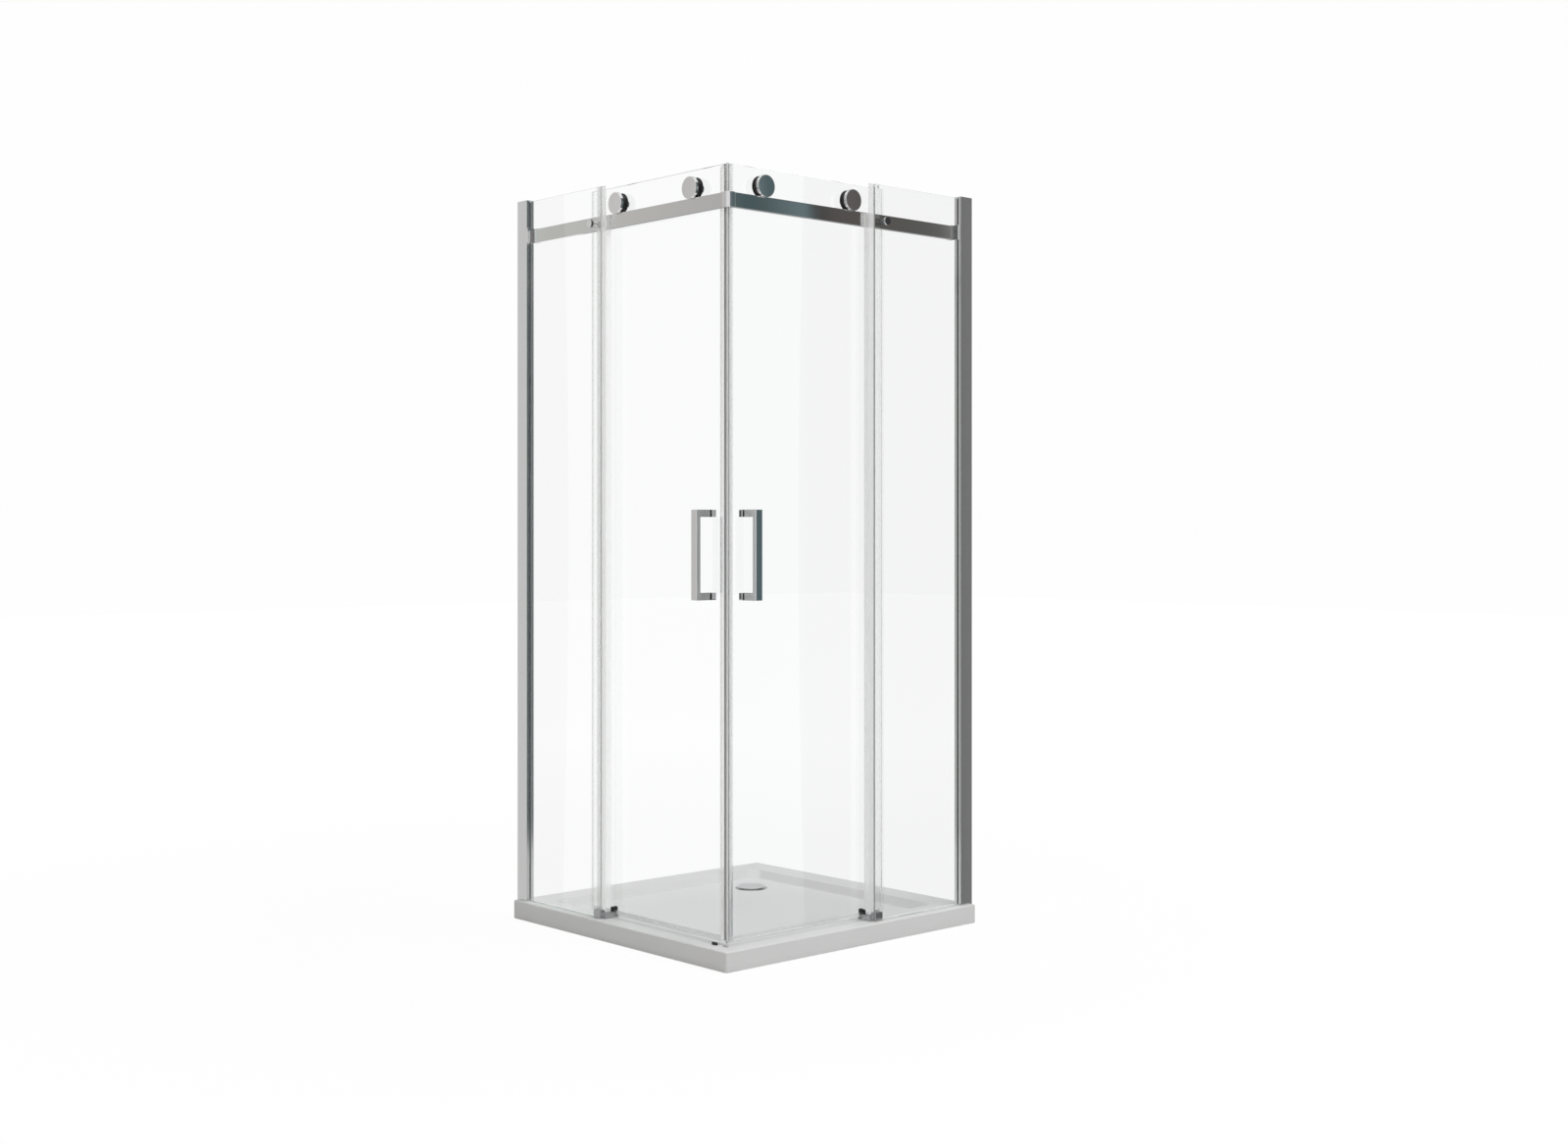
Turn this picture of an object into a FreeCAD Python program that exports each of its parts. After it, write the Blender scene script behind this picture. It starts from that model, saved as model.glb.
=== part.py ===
import FreeCAD, Part
import os

# Corner shower enclosure: a square tray, two wall profiles, two fixed panes and two
# sliding doors that hang from a rail on rollers and meet in the front corner.
#
# Frame: millimetres, +Z up, origin under the middle of the tray. The room's walls are
# the planes x = -half and y = +half, and the front corner is at (+half, -half).
# The left face looks along -Y. Everything on it is placed by x, by its inset (the
# distance inward from the tray's left edge) and by z. The right face is its mirror
# image in the upright plane through the front and back corners, but the right door
# closes further into the corner: the left door's edge meets its inner face.

V = FreeCAD.Vector

# ---- tray and waste ----
tray_side = 900.0
tray_height = 50.0
tray_edge_radius = 4.0
ledge_width = 82.0
basin_slope_width = 24.0
basin_depth = 20.0
basin_corner_radius = 34.0
dish_radius = 170.0
dish_depth = 3.0
waste_from_wall = 212.0
waste_cover_radius = 42.0
waste_cover_thickness = 3.0
waste_cover_lift = 4.0
waste_flange_radius = 47.0
waste_flange_thickness = 2.0
waste_throat_radius = 37.0
waste_throat_wall = 2.5
waste_seal_thickness = 1.0
waste_spoke_width = 5.0
waste_boss_radius = 8.0
waste_stem_radius = 4.0
waste_cup_radius = 52.0
waste_cup_wall = 3.0
waste_cup_height = 15.0
waste_socket_radius = 20.2
waste_socket_wall = 3.0
waste_socket_length = 12.0
waste_shelf_gap = 0.5

# ---- wall profiles ----
enclosure_height = 1930.0
profile_inset = 13.5
profile_depth = 26.0
profile_reach = 45.0
profile_wall = 1.5
profile_web_from_face = 14.0
profile_slot = 8.0
profile_cap_thickness = 2.0
channel_reach = 22.0
channel_web = 2.0
channel_leg = 1.5
channel_fit = 0.3
wall_gap = 0.3
wall_hole_radius = 2.5
wall_hole_spacing = 850.0
wall_hole_count = 3
lock_screw_radius = 2.0
lock_screw_head_radius = 3.6
lock_screw_head = 1.8
lock_screw_length = 6.0
lock_screw_spacing = 700.0
lock_screw_count = 3
lock_screw_from_wall = 12.0

# ---- glass ----
glass_thickness = 6.0
glass_drop = 3.5
glass_in_profile = 11.0
fixed_width = 333.0
sill_gap = 3.0
door_width = 538.0
door_lift = 9.0
door_meeting = 11.0
door_overlap = 3.0

# ---- rail ----
rail_standoff = 12.0
rail_thickness = 12.0
rail_height = 37.0
rail_wall = 2.0
rail_drop = 78.0
door_gap = 7.5
tongue_fit = 0.2
tongue_length = 18.0
bracket_plate = 3.0
bracket_margin = 1.0
collar_length = 10.0
collar_wall = 0.8
corner_leg = 24.0
corner_proud = 1.6
corner_chamfer = 6.0
fixing_from_edge = 43.0
fixing_cap_radius = 11.0
fixing_cap_thickness = 5.0
fixing_sleeve_radius = 8.0
fixing_bolt_radius = 3.0
fixing_gasket = 1.0
fixing_hole_radius = 6.0
bolt_fit = 0.05

# ---- rollers ----
disc_radius = 28.0
disc_thickness = 9.0
disc_gap = 1.0
disc_edge_radius = 1.2
disc_recess_radius = 7.5
disc_floor = 3.5
wheel_radius = 25.0
wheel_flange_radius = 27.5
wheel_flange = 2.5
wheel_side_gap = 0.5
wheel_eye_radius = 8.0
rail_run_gap = 0.3
bearing_radius = 11.0
bearing_bore_radius = 4.0
bearing_width = 7.0
bearing_setback = 1.5
axle_fit = 0.05
axle_clip_radius = 6.0
axle_clip = 1.5
axle_head_radius = 14.0
axle_head = 6.0
axle_end_gap = 0.3
bush_radius = 6.5
bush_collar_radius = 13.0
bush_collar = 2.0
bush_washer = 0.8
glass_hole_radius = 9.0
glass_hole_fit = 0.2
roller_from_lead = 102.0
roller_spacing = 304.0

# ---- door seals ----
seal_wall = 1.2
seal_grip = 8.0
lead_grip = 16.0
magnet_width = 5.0
magnet_thickness = 2.0
magnet_cover = 0.5
magnet_backing = 0.7
magnet_side = 1.0
magnet_gap = 0.3
trail_fin = 3.8
sweep_grip = 10.0
sweep_fin = 3.3
sweep_fin_thickness = 1.0
seal_joint_gap = 0.5

# ---- edge seal of the fixed pane ----
edge_grip = 16.0
edge_wall = 1.3
edge_flap = 18.5
edge_lip_gap = 0.3
edge_lip_rail_gap = 3.0
edge_lip_foot = 30.0

# ---- handle ----
handle_length = 225.0
handle_middle = 960.0
handle_from_lead = 62.5
handle_bar_width = 21.0
handle_bar_depth = 13.0
handle_arm_height = 18.0
handle_reach = 46.0
handle_edge_radius = 1.5
handle_gasket = 1.5
handle_cap = 14.0
handle_screw_radius = 3.0
handle_screw_grip = 14.0
handle_hole_radius = 5.0

# ---- bottom guide and threshold ----
guide_width = 27.0
guide_overhang = 2.0
guide_height = 22.0
guide_jaw_outer = 4.5
guide_jaw_inner = 6.5
guide_arm_width = 12.0
guide_arm_height = 16.0
guide_foot = 4.0
guide_pad_outer = 4.5
guide_pad_inner = 4.5
guide_pad_height = 24.0
guide_run_gap = 0.5
guide_seal_gap = 2.0
threshold_inset = 40.0
threshold_width = 12.0
threshold_height = 5.0
threshold_gap = 2.0
stop_length = 18.0
stop_depth = 5.0
stop_height = 6.5
stop_from_corner = 38.0

# ---- places that follow from the sizes ----
half = tray_side / 2
tray_top = tray_height
basin_floor = tray_top - basin_depth
profile_top = tray_top + enclosure_height
profile_inner = profile_inset + profile_depth
pane_middle = profile_inset + profile_depth / 2
pane_out = pane_middle - glass_thickness / 2
pane_in = pane_middle + glass_thickness / 2
rail_out = pane_in + rail_standoff
rail_in = rail_out + rail_thickness
door_out = rail_in + door_gap
door_in = door_out + glass_thickness

wall_x = -half
profile_face = wall_x + profile_reach
pane_back = profile_face - glass_in_profile
pane_edge = pane_back + fixed_width
lead_edge = half - door_in - door_meeting
right_door_ahead = half - door_out + door_overlap - lead_edge
trail_edge = lead_edge - door_width
rail_start = profile_face + bracket_plate
rail_end = half - rail_out + corner_proud - corner_leg

glass_top = profile_top - glass_drop
pane_bottom = tray_top + sill_gap
door_bottom = tray_top + door_lift
rail_top = profile_top - rail_drop
rail_bottom = rail_top - rail_height
rail_middle = (rail_top + rail_bottom) / 2
disc_back = rail_out - disc_gap
disc_front = disc_back - disc_thickness
wheel_back = rail_in + wheel_side_gap + wheel_flange
axle_z = rail_top + rail_run_gap + wheel_radius
roller_places = {"front": lead_edge - roller_from_lead,
                 "rear": lead_edge - roller_from_lead - roller_spacing}
handle_x = lead_edge - handle_from_lead
handle_bottom = tray_top + handle_middle - handle_length / 2
handle_top = handle_bottom + handle_length
bar_out = door_out - handle_reach
bar_in = bar_out + handle_bar_depth
fixing_x = pane_edge - fixing_from_edge
waste_at = V(wall_x + waste_from_wall, half - waste_from_wall, 0)
waste_floor = basin_floor - dish_depth


def block(x, inset, z):
    """A box on the left face, from its x, inset and z ranges."""
    corner = V(x[0], inset[0] - half, z[0])
    return Part.makeBox(x[1] - x[0], inset[1] - inset[0], z[1] - z[0], corner)


def rod(x, z, inset, radius):
    """A round bar through the left face, square to it."""
    start = V(x, inset[0] - half, z)
    return Part.makeCylinder(radius, inset[1] - inset[0], start, V(0, 1, 0))


def prism(points, z):
    """An upright prism over (x, inset) points of the left face."""
    corners = [V(x, inset - half, z[0]) for x, inset in points]
    outline = Part.makePolygon(corners + corners[:1])
    return Part.Face(outline).extrude(V(0, 0, z[1] - z[0]))


def disc(radius, z):
    """An upright cylinder on the waste's axis."""
    return Part.makeCylinder(radius, z[1] - z[0], waste_at + V(0, 0, z[0]))


def fuse(first, *others):
    return first.fuse(list(others)).removeSplitter()


def cut(body, *tools):
    return body.cut(list(tools))


def rounded(body, radius, keep):
    """Round the edges of a body that the test keeps."""
    return body.makeFillet(radius, [edge for edge in body.Edges if keep(edge)])


def upright(edge):
    line = edge.Vertexes[-1].Point - edge.Vertexes[0].Point
    return abs(line.z) > 0.9 * line.Length > 0


def mirrored(shape):
    """The same piece on the right face."""
    return shape.mirror(V(0, 0, 0), V(1, 1, 0))


def on_right_door(shape):
    """The left door's piece on the right door, which closes further into the corner."""
    return mirrored(shape.translated(V(right_door_ahead, 0, 0)))


def save(name, *shapes):
    solids = [solid for shape in shapes for solid in shape.Solids]
    whole = solids[0] if len(solids) == 1 else Part.makeCompound(solids)
    whole.exportStep("parts/" + name + ".step")


def save_pair(name, *shapes):
    """One node for the left face and one for the right."""
    save(name + "_left", *shapes)
    save(name + "_right", *[mirrored(shape) for shape in shapes])


def save_doors(name, *shapes):
    """One node for the left door and one for the right."""
    save(name + "_left", *shapes)
    save(name + "_right", *[on_right_door(shape) for shape in shapes])


def save_both(name, *shapes):
    """One node that holds the left face's pieces and the right face's."""
    save(name, *shapes, *[mirrored(shape) for shape in shapes])


# ---- tray ----
def rounded_square(side, radius, z):
    square = Part.makeBox(side, side, 1.0, V(-side / 2, -side / 2, z))
    return rounded(square, radius, upright).section(
        Part.makePlane(4 * side, 4 * side, V(-2 * side, -2 * side, z)))


def basin():
    """The hollow above the floor: a sloping band inside the ledge."""
    top_side = tray_side - 2 * ledge_width
    floor_side = top_side - 2 * basin_slope_width
    rings = []
    for side, z in ((top_side, tray_top), (floor_side, basin_floor)):
        edges = rounded_square(side, basin_corner_radius, z).Edges
        rings.append(Part.Wire(Part.__sortEdges__(edges)))
    return Part.makeLoft(rings, True, True)


def tray():
    slab = Part.makeBox(tray_side, tray_side, tray_height, V(-half, -half, 0))
    slab = rounded(slab, tray_edge_radius, upright)
    slab = rounded(slab, tray_edge_radius,
                   lambda edge: all(abs(v.Z - tray_top) < 0.01 for v in edge.Vertexes))
    dish = Part.makeCone(waste_flange_radius, dish_radius, dish_depth,
                         waste_at + V(0, 0, waste_floor))
    rebate_depth = waste_flange_thickness + waste_seal_thickness
    rebate = disc(waste_flange_radius, (waste_floor - rebate_depth, waste_floor))
    throat = disc(waste_throat_radius + waste_shelf_gap, (0, basin_floor))
    cup_room = disc(waste_cup_radius + waste_shelf_gap,
                    (0, waste_cup_height + waste_seal_thickness))
    return cut(slab, basin(), dish, rebate, throat, cup_room)


# ---- waste ----
def waste_flange():
    top = waste_floor
    bottom = top - waste_flange_thickness
    throat_in = waste_throat_radius - waste_throat_wall
    ring = disc(waste_flange_radius, (bottom, top))
    throat = disc(waste_throat_radius, (waste_socket_length, bottom))
    body = cut(fuse(ring, throat), disc(throat_in, (0, top)))
    boss = disc(waste_boss_radius, (bottom - waste_flange_thickness, bottom))
    spokes = []
    for axis in (V(1, 0, 0), V(0, 1, 0)):
        across = V(axis.y, axis.x, 0)
        corner = waste_at - axis * throat_in - across * (waste_spoke_width / 2)
        size = axis * (2 * throat_in) + across * waste_spoke_width
        spokes.append(Part.makeBox(size.x, size.y, waste_flange_thickness,
                                   corner + V(0, 0, bottom - waste_flange_thickness)))
    body = fuse(body, boss, *spokes)
    return cut(body, disc(waste_stem_radius, (0, top)))


def waste_cover():
    underside = waste_floor + waste_cover_lift
    plate = disc(waste_cover_radius, (underside, underside + waste_cover_thickness))
    plate = rounded(plate, waste_cover_thickness / 3,
                    lambda edge: edge.BoundBox.ZMin > underside + 0.1
                    and edge.BoundBox.XLength > waste_cover_radius)
    spokes_bottom = waste_floor - 2 * waste_flange_thickness
    stem = disc(waste_stem_radius, (spokes_bottom, underside))
    rest = disc(waste_boss_radius, (waste_floor - waste_flange_thickness, underside))
    return fuse(plate, stem, rest)


def waste_seals():
    """The washer under the flange and the one above the cup."""
    under_flange = waste_floor - waste_flange_thickness
    upper = cut(disc(waste_flange_radius, (under_flange - waste_seal_thickness, under_flange)),
                disc(waste_throat_radius, (0, tray_top)))
    lower = cut(disc(waste_cup_radius, (waste_cup_height, waste_cup_height + waste_seal_thickness)),
                disc(waste_throat_radius, (0, tray_top)))
    return upper, lower


def waste_cup():
    """The cup under the tray, with the socket that the drain pipe enters from below."""
    outside = disc(waste_cup_radius, (0, waste_cup_height))
    room = disc(waste_throat_radius, (waste_cup_wall, waste_cup_height))
    socket = disc(waste_socket_radius + waste_socket_wall, (0, waste_socket_length - waste_cup_wall))
    bore = disc(waste_socket_radius, (0, waste_socket_length))
    return cut(fuse(cut(outside, room), socket), bore)


# ---- wall profiles ----
def spaced(count, spacing, middle):
    return [middle + spacing * (i - (count - 1) / 2) for i in range(count)]


profile_middle = (tray_top + profile_top) / 2
wall_hole_heights = spaced(wall_hole_count, wall_hole_spacing, profile_middle)
lock_screw_heights = spaced(lock_screw_count, lock_screw_spacing, profile_middle)
lock_screw_x = wall_x + lock_screw_from_wall
profile_z = (tray_top, profile_top - profile_cap_thickness)
channel_out = profile_inset + profile_wall + channel_fit
channel_in = profile_inner - profile_wall - channel_fit
slot_out = pane_middle - profile_slot / 2
slot_in = pane_middle + profile_slot / 2
web_x = profile_face - profile_web_from_face


def wall_channel():
    """The channel that the wall screws hold, inside the profile."""
    outside = block((wall_x, wall_x + channel_reach), (channel_out, channel_in), profile_z)
    inside = block((wall_x + channel_web, wall_x + channel_reach),
                   (channel_out + channel_leg, channel_in - channel_leg), profile_z)
    holes = [Part.makeCylinder(wall_hole_radius, channel_web,
                               V(wall_x, pane_middle - half, z), V(1, 0, 0))
             for z in wall_hole_heights]
    holes += [rod(lock_screw_x, z, (pane_middle, profile_inner), lock_screw_radius)
              for z in lock_screw_heights]
    return cut(outside, inside, *holes)


def wall_profile():
    """The profile that shows: it slides over the channel and grips the fixed pane."""
    outside = block((wall_x + wall_gap, profile_face), (profile_inset, profile_inner), profile_z)
    back_room = block((wall_x, web_x), (profile_inset + profile_wall, profile_inner - profile_wall),
                      profile_z)
    slot = block((web_x + profile_wall, profile_face), (slot_out, slot_in), profile_z)
    tubes = [block((web_x + profile_wall, profile_face - profile_wall), inset, profile_z)
             for inset in ((profile_inset + profile_wall, slot_out - profile_wall),
                           (slot_in + profile_wall, profile_inner - profile_wall))]
    holes = [rod(lock_screw_x, z, (pane_middle, profile_inner), lock_screw_radius)
             for z in lock_screw_heights]
    return cut(outside, back_room, slot, *tubes, *holes)


def profile_cap():
    return block((wall_x + wall_gap, profile_face), (profile_inset, profile_inner),
                 (profile_top - profile_cap_thickness, profile_top))


def lock_screws():
    """Screws inside the cabin that lock the profile to its channel."""
    screws = []
    for z in lock_screw_heights:
        shank = rod(lock_screw_x, z, (profile_inner - lock_screw_length, profile_inner),
                    lock_screw_radius)
        head = rod(lock_screw_x, z, (profile_inner, profile_inner + lock_screw_head),
                   lock_screw_head_radius)
        screws.append(fuse(shank, head))
    return screws


def glazing_gasket():
    outside = block((web_x + profile_wall, profile_face), (slot_out, slot_in),
                    (pane_bottom, glass_top))
    return cut(outside, block((pane_back, profile_face), (pane_out, pane_in),
                              (pane_bottom, glass_top)))


# ---- fixed pane ----
def fixed_pane():
    pane = block((pane_back, pane_edge), (pane_out, pane_in), (pane_bottom, glass_top))
    return cut(pane, rod(fixing_x, rail_middle, (pane_out, pane_in), fixing_hole_radius))


guide_end = pane_edge + guide_overhang
guide_start = guide_end - guide_width


def sill_seal():
    return block((profile_face, guide_start), (pane_out, pane_in), (tray_top, pane_bottom))


def edge_seal():
    """Clear strip on the pane's free edge: a grip, a flap and a lip towards the door."""
    foot = tray_top + guide_height + guide_seal_gap
    grip = cut(block((pane_edge - edge_grip, pane_edge + edge_wall),
                     (pane_out - edge_wall, pane_in + edge_wall), (foot, glass_top)),
               block((pane_edge - edge_grip, pane_edge), (pane_out, pane_in), (foot, glass_top)))
    flap_x = (pane_edge, pane_edge + edge_wall + edge_flap)
    flap_inset = (pane_middle - edge_wall / 2, pane_middle + edge_wall / 2)
    flap = cut(block(flap_x, flap_inset, (foot, glass_top)),
               block((pane_edge, pane_edge + edge_wall), flap_inset, (foot, glass_top)))
    lip_x = (flap_x[1] - edge_wall, flap_x[1])
    lip_foot = tray_top + edge_lip_foot
    low_lip = block(lip_x, (pane_middle, door_out - edge_lip_gap),
                    (lip_foot, rail_bottom - edge_lip_rail_gap))
    rail_lip = block(lip_x, (pane_middle, rail_out - edge_lip_gap),
                     (lip_foot, rail_top - edge_lip_rail_gap))
    return fuse(grip, flap, low_lip, rail_lip)


# ---- rail ----
rail_inset = (rail_out, rail_in)
rail_z = (rail_bottom, rail_top)


def shrunk(span, margin):
    return (span[0] + margin, span[1] - margin)


def rail():
    outside = block((rail_start, rail_end), rail_inset, rail_z)
    inside = block((rail_start, rail_end), shrunk(rail_inset, rail_wall), shrunk(rail_z, rail_wall))
    hole = rod(fixing_x, rail_middle, (rail_out, rail_out + rail_wall), fixing_bolt_radius)
    return cut(outside, inside, hole)


def tongue(start, end):
    """The part of an end fitting that fills the rail's hollow."""
    margin = rail_wall + tongue_fit
    return block((start, end), shrunk(rail_inset, margin), shrunk(rail_z, margin))


def wall_brackets():
    """The plate behind the pane that carries the rail's end, and its cover in front."""
    plate_x = (profile_face, rail_start)
    plate_z = shrunk(rail_z, -bracket_margin)
    plate = block(plate_x, (pane_in + tongue_fit, rail_in + bracket_margin), plate_z)
    cover = block(plate_x, (profile_inset, pane_out - tongue_fit), plate_z)
    return fuse(plate, tongue(rail_start, rail_start + tongue_length)), cover


def rail_collar():
    reach = (rail_start, rail_start + collar_length)
    outside = block(reach, shrunk(rail_inset, -collar_wall), shrunk(rail_z, -collar_wall))
    return cut(outside, block(reach, rail_inset, rail_z))


def corner_connector():
    """The block in the front corner that both rails push onto."""
    out = rail_out - corner_proud
    corner = half - out
    inner = half - rail_in
    z = shrunk(rail_z, -bracket_margin)
    left = [(rail_end, rail_in), (rail_end, out), (corner - corner_chamfer, out)]
    right = [(corner, out + corner_chamfer), (corner, half - rail_end), (inner, half - rail_end),
             (inner, rail_in)]
    tongue_left = tongue(rail_end - tongue_length, rail_end)
    return fuse(prism(left + right, z), tongue_left, mirrored(tongue_left))


def rail_fixing():
    """Cap, bolt and sleeve that tie the fixed pane to the rail."""
    cap_in = pane_out - fixing_gasket
    cap_out = cap_in - fixing_cap_thickness
    cap = rod(fixing_x, rail_middle, (cap_out, cap_in), fixing_cap_radius)
    cap = rounded(cap, fixing_cap_thickness / 5,
                  lambda edge: abs(edge.CenterOfMass.y - (cap_out - half)) < 0.01)
    bolt = rod(fixing_x, rail_middle, (cap_in, rail_out + rail_wall), fixing_bolt_radius)
    sleeve = cut(rod(fixing_x, rail_middle, (pane_in + fixing_gasket, rail_out), fixing_sleeve_radius),
                 rod(fixing_x, rail_middle, (pane_in, rail_out), fixing_bolt_radius + bolt_fit))
    return fuse(cap, bolt), sleeve


def fixing_gaskets():
    hole = rod(fixing_x, rail_middle, (0, rail_out), fixing_bolt_radius + bolt_fit)
    outer = rod(fixing_x, rail_middle, (pane_out - fixing_gasket, pane_out), fixing_cap_radius)
    inner = rod(fixing_x, rail_middle, (pane_in, pane_in + fixing_gasket), fixing_sleeve_radius)
    return cut(outer, hole), cut(inner, hole)


# ---- door ----
handle_arms = (handle_bottom + handle_arm_height / 2, handle_top - handle_arm_height / 2)


def door_pane():
    pane = block((trail_edge, lead_edge), (door_out, door_in), (door_bottom, glass_top))
    holes = [rod(x, axle_z, (door_out, door_in), glass_hole_radius)
             for x in roller_places.values()]
    holes += [rod(handle_x, z, (door_out, door_in), handle_hole_radius) for z in handle_arms]
    return cut(pane, *holes)


door_middle = (door_out + door_in) / 2
strip_depth = magnet_backing + magnet_thickness + magnet_cover
seal_z = (tray_top + door_lift / 2, glass_top)


def lead_grip_profile():
    """The clear channel that both leading edges carry, before the pane is cut out."""
    return block((lead_edge - lead_grip, lead_edge + seal_wall),
                 (door_out - seal_wall, door_in + seal_wall), seal_z)


def lead_pane():
    return block((lead_edge - lead_grip, lead_edge), (door_out, door_in), seal_z)


def magnet_in_nose():
    """Magnet strip at the tip of the left seal, facing the right door."""
    tip = half - door_in - strip_depth - magnet_gap
    end = tip - magnet_cover
    return block((end - magnet_thickness, end),
                 (door_middle - magnet_width / 2, door_middle + magnet_width / 2), seal_z)


def nose_seal():
    """Left seal: a hollow nose fills the gap to the right door's inner face."""
    magnet = magnet_in_nose()
    tip = magnet.BoundBox.XMax + magnet_cover
    nose = block((lead_edge, tip), (door_out - seal_wall, door_in + seal_wall), seal_z)
    hollow = block((lead_edge + seal_wall, magnet.BoundBox.XMin - magnet_cover),
                   (door_out, door_in), seal_z)
    return cut(fuse(lead_grip_profile(), nose), lead_pane(), hollow, magnet)


meeting_x = half - door_middle - right_door_ahead


def magnet_in_strip():
    """Magnet strip on the right pane's inner face, drawn on the left door."""
    start = door_in + magnet_backing
    return block((meeting_x - magnet_width / 2, meeting_x + magnet_width / 2),
                 (start, start + magnet_thickness), seal_z)


def strip_seal():
    """Right seal, drawn on the left door: its inner leg holds the other magnet strip."""
    reach = magnet_width / 2 + magnet_side
    strip = block((meeting_x - reach, meeting_x + reach), (door_in, door_in + strip_depth), seal_z)
    return cut(fuse(lead_grip_profile(), strip), lead_pane(), magnet_in_strip())


def trailing_seal():
    z = (door_bottom, glass_top)
    back = trail_edge - seal_wall
    outside = block((back, trail_edge + seal_grip), (door_out - seal_wall, door_in + seal_wall), z)
    pane = block((trail_edge, trail_edge + seal_grip), (door_out, door_in), z)
    fin = block((back, trail_edge), (door_out - seal_wall - trail_fin, door_out - seal_wall), z)
    return fuse(cut(outside, pane), fin)


def bottom_seal():
    """Wiper strip on the door's lower edge, clear of the guide's foot."""
    x = (trail_edge + seal_grip + seal_joint_gap, lead_edge - lead_grip - seal_joint_gap)
    web = door_bottom - seal_wall
    outside = block(x, (door_out - seal_wall, door_in + seal_wall), (web, door_bottom + sweep_grip))
    pane = block(x, (door_out, door_in), (door_bottom, door_bottom + sweep_grip))
    third = glass_thickness / 3
    fins = [block(x, (inset - sweep_fin_thickness / 2, inset + sweep_fin_thickness / 2),
                  (web - sweep_fin, web))
            for inset in (door_out + third / 2, door_in - third / 2)]
    return fuse(cut(outside, pane), *fins)


# ---- handle ----
bar_x = (handle_x - handle_bar_width / 2, handle_x + handle_bar_width / 2)


def arm_z(middle):
    return (middle - handle_arm_height / 2, middle + handle_arm_height / 2)


def handle():
    bar = block(bar_x, (bar_out, bar_in), (handle_bottom, handle_top))
    arms = [block(bar_x, (bar_in, door_out - handle_gasket), arm_z(z)) for z in handle_arms]
    body = rounded(fuse(bar, *arms), handle_edge_radius,
                   lambda edge: abs(edge.CenterOfMass.y - (bar_out - half)) < 0.01)
    holes = [rod(handle_x, z, (door_out - handle_gasket - handle_screw_grip, door_out),
                 handle_screw_radius) for z in handle_arms]
    return cut(body, *holes)


def handle_gaskets():
    """Pads between the glass and the arms outside, and the caps inside."""
    pads = []
    for z in handle_arms:
        hole = rod(handle_x, z, (bar_in, door_in + handle_reach), handle_screw_radius + bolt_fit)
        for inset in ((door_out - handle_gasket, door_out), (door_in, door_in + handle_gasket)):
            pads.append(cut(block(bar_x, inset, arm_z(z)), hole))
    return pads


def handle_caps():
    """Caps inside the cabin, each with the screw that holds an arm."""
    caps = []
    start = door_in + handle_gasket
    for z in handle_arms:
        cap = rounded(block(bar_x, (start, start + handle_cap), arm_z(z)), handle_edge_radius,
                      lambda edge: abs(edge.CenterOfMass.y - (start + handle_cap - half)) < 0.01)
        screw = rod(handle_x, z, (door_out - handle_gasket - handle_screw_grip, start),
                    handle_screw_radius)
        caps.append(fuse(cap, screw))
    return caps


# ---- rollers ----
bearing_start = disc_back + bearing_setback
bearing_end = bearing_start + bearing_width


def roller_disc(x):
    plate = rounded(rod(x, axle_z, (disc_front, disc_back), disc_radius), disc_edge_radius,
                    lambda edge: abs(edge.CenterOfMass.y - (disc_front - half)) < 0.01)
    spigot = rod(x, axle_z, (disc_back, bearing_start), bearing_radius)
    recess = rod(x, axle_z, (disc_front + disc_floor, bearing_start), disc_recess_radius)
    return cut(fuse(plate, spigot), recess)


def roller_wheel(x):
    tread = rod(x, axle_z, (disc_back, wheel_back - wheel_flange), wheel_radius)
    flange = rod(x, axle_z, (wheel_back - wheel_flange, wheel_back), wheel_flange_radius)
    seat = rod(x, axle_z, (disc_back, bearing_end), bearing_radius)
    eye = rod(x, axle_z, (bearing_end, wheel_back), wheel_eye_radius)
    return cut(fuse(tread, flange), seat, eye)


def roller_bearing(x):
    ring = rod(x, axle_z, (bearing_start, bearing_end), bearing_radius)
    return cut(ring, rod(x, axle_z, (bearing_start, bearing_end), bearing_bore_radius))


def roller_axle(x):
    """Bolt from inside the cabin: round head, shank and the clip at its end."""
    shank_radius = bearing_bore_radius - axle_fit
    clip_in = bearing_start - axle_end_gap
    clip = rod(x, axle_z, (clip_in - axle_clip, clip_in), axle_clip_radius)
    head_start = door_in + bush_washer
    shank = rod(x, axle_z, (clip_in, head_start), shank_radius)
    head = rounded(rod(x, axle_z, (head_start, head_start + axle_head), axle_head_radius),
                   disc_edge_radius,
                   lambda edge: abs(edge.CenterOfMass.y - (head_start + axle_head - half)) < 0.01)
    return fuse(clip, shank, head)


def roller_bushes(x):
    """Bush through the glass with its spacer to the bearing, and the inner washer."""
    bore = rod(x, axle_z, (0, half), bearing_bore_radius)
    spacer = rod(x, axle_z, (bearing_end + axle_end_gap, door_out - bush_collar), bush_radius)
    collar = rod(x, axle_z, (door_out - bush_collar, door_out), bush_collar_radius)
    plug = rod(x, axle_z, (door_out, door_in), glass_hole_radius - glass_hole_fit)
    washer = rod(x, axle_z, (door_in, door_in + bush_washer), bush_collar_radius)
    return cut(fuse(spacer, collar, plug), bore), cut(washer, bore)


# ---- bottom guide and threshold ----
pad_out_end = door_out - seal_wall - guide_run_gap
pad_in_start = door_in + seal_wall + guide_run_gap
arm_x = (guide_end, guide_end + guide_arm_width)
arm_top = tray_top + guide_arm_height


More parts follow.
